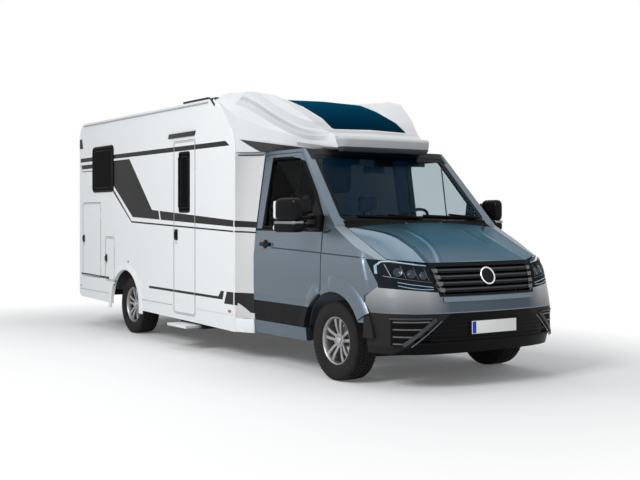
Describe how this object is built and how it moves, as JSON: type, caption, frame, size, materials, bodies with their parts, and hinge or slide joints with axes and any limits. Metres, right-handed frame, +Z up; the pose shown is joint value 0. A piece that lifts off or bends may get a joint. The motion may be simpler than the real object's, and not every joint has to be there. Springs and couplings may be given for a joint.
{
  "type": "low-profile motorhome",
  "caption": "Low-profile motorhome: van cab with bonnet and doors, moulded over-cab fairing with skylight, and a flat-sided living body with entrance, garage and service doors.",
  "frame": {"origin": "on the ground under the middle of the overall length", "axes": "-Y towards the nose, +Z up, +X towards the vehicle's left side"},
  "size_m": [2.74, 7.1, 2.8399],
  "materials": {
    "frame_black": "satin black",
    "engine_grey": "cast",
    "plastic_black": "grained black",
    "cab_silver": "metallic gloss",
    "lamp": "clear lens over dark housing",
    "glass_clear": "tinted glass",
    "glass_dark": "dark tinted acrylic",
    "sky_glass": "dark blue glazing",
    "interior_grey": "matt dark grey",
    "seat_fabric": "woven dark grey",
    "body_white": "smooth sheet, white with dark stripes",
    "gel_white": "moulded, gloss white",
    "visor_grey": "satin silver grey",
    "floor_grey": "sandwich floor",
    "lamp_red": "red lens",
    "hatch_white": "white frame with smoked dome",
    "tyre": "black rubber",
    "alloy": "machined silver",
    "steel": "forged",
    "step_alu": "ribbed silver",
    "mirror_black": "black housing with silvered face"
  },
  "bodies": {
    "chassis": {"chassis_frame": "frame_black", "engine_block": "engine_grey", "front_axle_carrier": "frame_black", "rear_axle": "frame_black", "underfloor_tanks": "plastic_black", "cab_shell": "cab_silver", "front_wings": "cab_silver", "front_bumper": "plastic_black", "grille": "plastic_black", "headlamps": "lamp", "windscreen": "glass_clear", "cowl": "plastic_black", "dashboard": "interior_grey", "cab_seats": "seat_fabric", "corner_panels": "gel_white", "overcab_fairing": "gel_white", "front_visor": "visor_grey", "skylight": "sky_glass", "right_wall": "body_white", "left_wall": "body_white", "rear_wall": "body_white", "roof": "body_white", "living_floor": "floor_grey", "side_skirts": "body_white", "body_windows": "glass_dark", "roof_hatches": "hatch_white", "rear_lamps": "lamp_red", "rear_bumper": "gel_white", "step_housing": "frame_black"},
    "bonnet": {"bonnet": "cab_silver"},
    "left_cab_door": {"left_cab_door": "cab_silver", "left_cab_door_pane": "glass_clear", "left_mirror": "mirror_black"},
    "right_cab_door": {"right_cab_door": "cab_silver", "right_cab_door_pane": "glass_clear", "right_mirror": "mirror_black"},
    "entrance_door": {"entrance_door": "body_white", "entrance_door_pane": "glass_dark"},
    "right_garage_door": {"right_garage_door": "body_white"},
    "right_service_door": {"right_service_door": "body_white"},
    "left_garage_door": {"left_garage_door": "body_white"},
    "entrance_step": {"entrance_step": "step_alu"},
    "left_knuckle": {"left_knuckle": "steel"},
    "right_knuckle": {"right_knuckle": "steel"},
    "left_front_wheel": {"left_front_tyre": "tyre", "left_front_rim": "alloy"},
    "right_front_wheel": {"right_front_tyre": "tyre", "right_front_rim": "alloy"},
    "left_rear_wheel": {"left_rear_tyre": "tyre", "left_rear_rim": "alloy"},
    "right_rear_wheel": {"right_rear_tyre": "tyre", "right_rear_rim": "alloy"}
  },
  "joints": [
    {"name": "bonnet_hinge", "type": "hinge", "parent": "chassis", "child": "bonnet", "pos_m": [0, -2.581, 1.414], "axis": [-1, 0, 0], "range_deg": [0, 48]},
    {"name": "left_cab_door_hinge", "type": "hinge", "parent": "chassis", "child": "left_cab_door", "pos_m": [0.986, -2.395, 0.9], "axis": [0, 0, -1], "range_deg": [0, 62]},
    {"name": "right_cab_door_hinge", "type": "hinge", "parent": "chassis", "child": "right_cab_door", "pos_m": [-0.986, -2.395, 0.9], "axis": [0, 0, 1], "range_deg": [0, 62]},
    {"name": "entrance_door_hinge", "type": "hinge", "parent": "chassis", "child": "entrance_door", "pos_m": [-1.101, -0.007, 1], "axis": [0, 0, 1], "range_deg": [0, 110]},
    {"name": "right_garage_door_hinge", "type": "hinge", "parent": "chassis", "child": "right_garage_door", "pos_m": [-1.101, 2.737, 1], "axis": [0, 0, 1], "range_deg": [0, 110]},
    {"name": "right_service_door_hinge", "type": "hinge", "parent": "chassis", "child": "right_service_door", "pos_m": [-1.101, 2.267, 0.9], "axis": [0, 0, 1], "range_deg": [0, 110]},
    {"name": "left_garage_door_hinge", "type": "hinge", "parent": "chassis", "child": "left_garage_door", "pos_m": [1.101, 2.737, 0.9], "axis": [0, 0, -1], "range_deg": [0, 110]},
    {"name": "step_slide", "type": "slide", "parent": "chassis", "child": "entrance_step", "axis": [1, 0, 0], "range_m": [0, 0.28]},
    {"name": "left_steer", "type": "hinge", "parent": "chassis", "child": "left_knuckle", "pos_m": [0.742, -2.56, 0.357], "axis": [0, 0, 1], "range_deg": [-35, 35]},
    {"name": "right_steer", "type": "hinge", "parent": "chassis", "child": "right_knuckle", "pos_m": [-0.742, -2.56, 0.357], "axis": [0, 0, 1], "range_deg": [-35, 35]},
    {"name": "left_front_roll", "type": "hinge", "parent": "left_knuckle", "child": "left_front_wheel", "pos_m": [0.895, -2.56, 0.357], "axis": [1, 0, 0], "continuous": true},
    {"name": "right_front_roll", "type": "hinge", "parent": "right_knuckle", "child": "right_front_wheel", "pos_m": [-0.895, -2.56, 0.357], "axis": [1, 0, 0], "continuous": true},
    {"name": "left_rear_roll", "type": "hinge", "parent": "chassis", "child": "left_rear_wheel", "pos_m": [0.895, 1.93, 0.357], "axis": [1, 0, 0], "continuous": true},
    {"name": "right_rear_roll", "type": "hinge", "parent": "chassis", "child": "right_rear_wheel", "pos_m": [-0.895, 1.93, 0.357], "axis": [1, 0, 0], "continuous": true}
  ],
  "couplings": [
    {"joint": "right_steer", "follows": "left_steer", "ratio": 1}
  ]
}
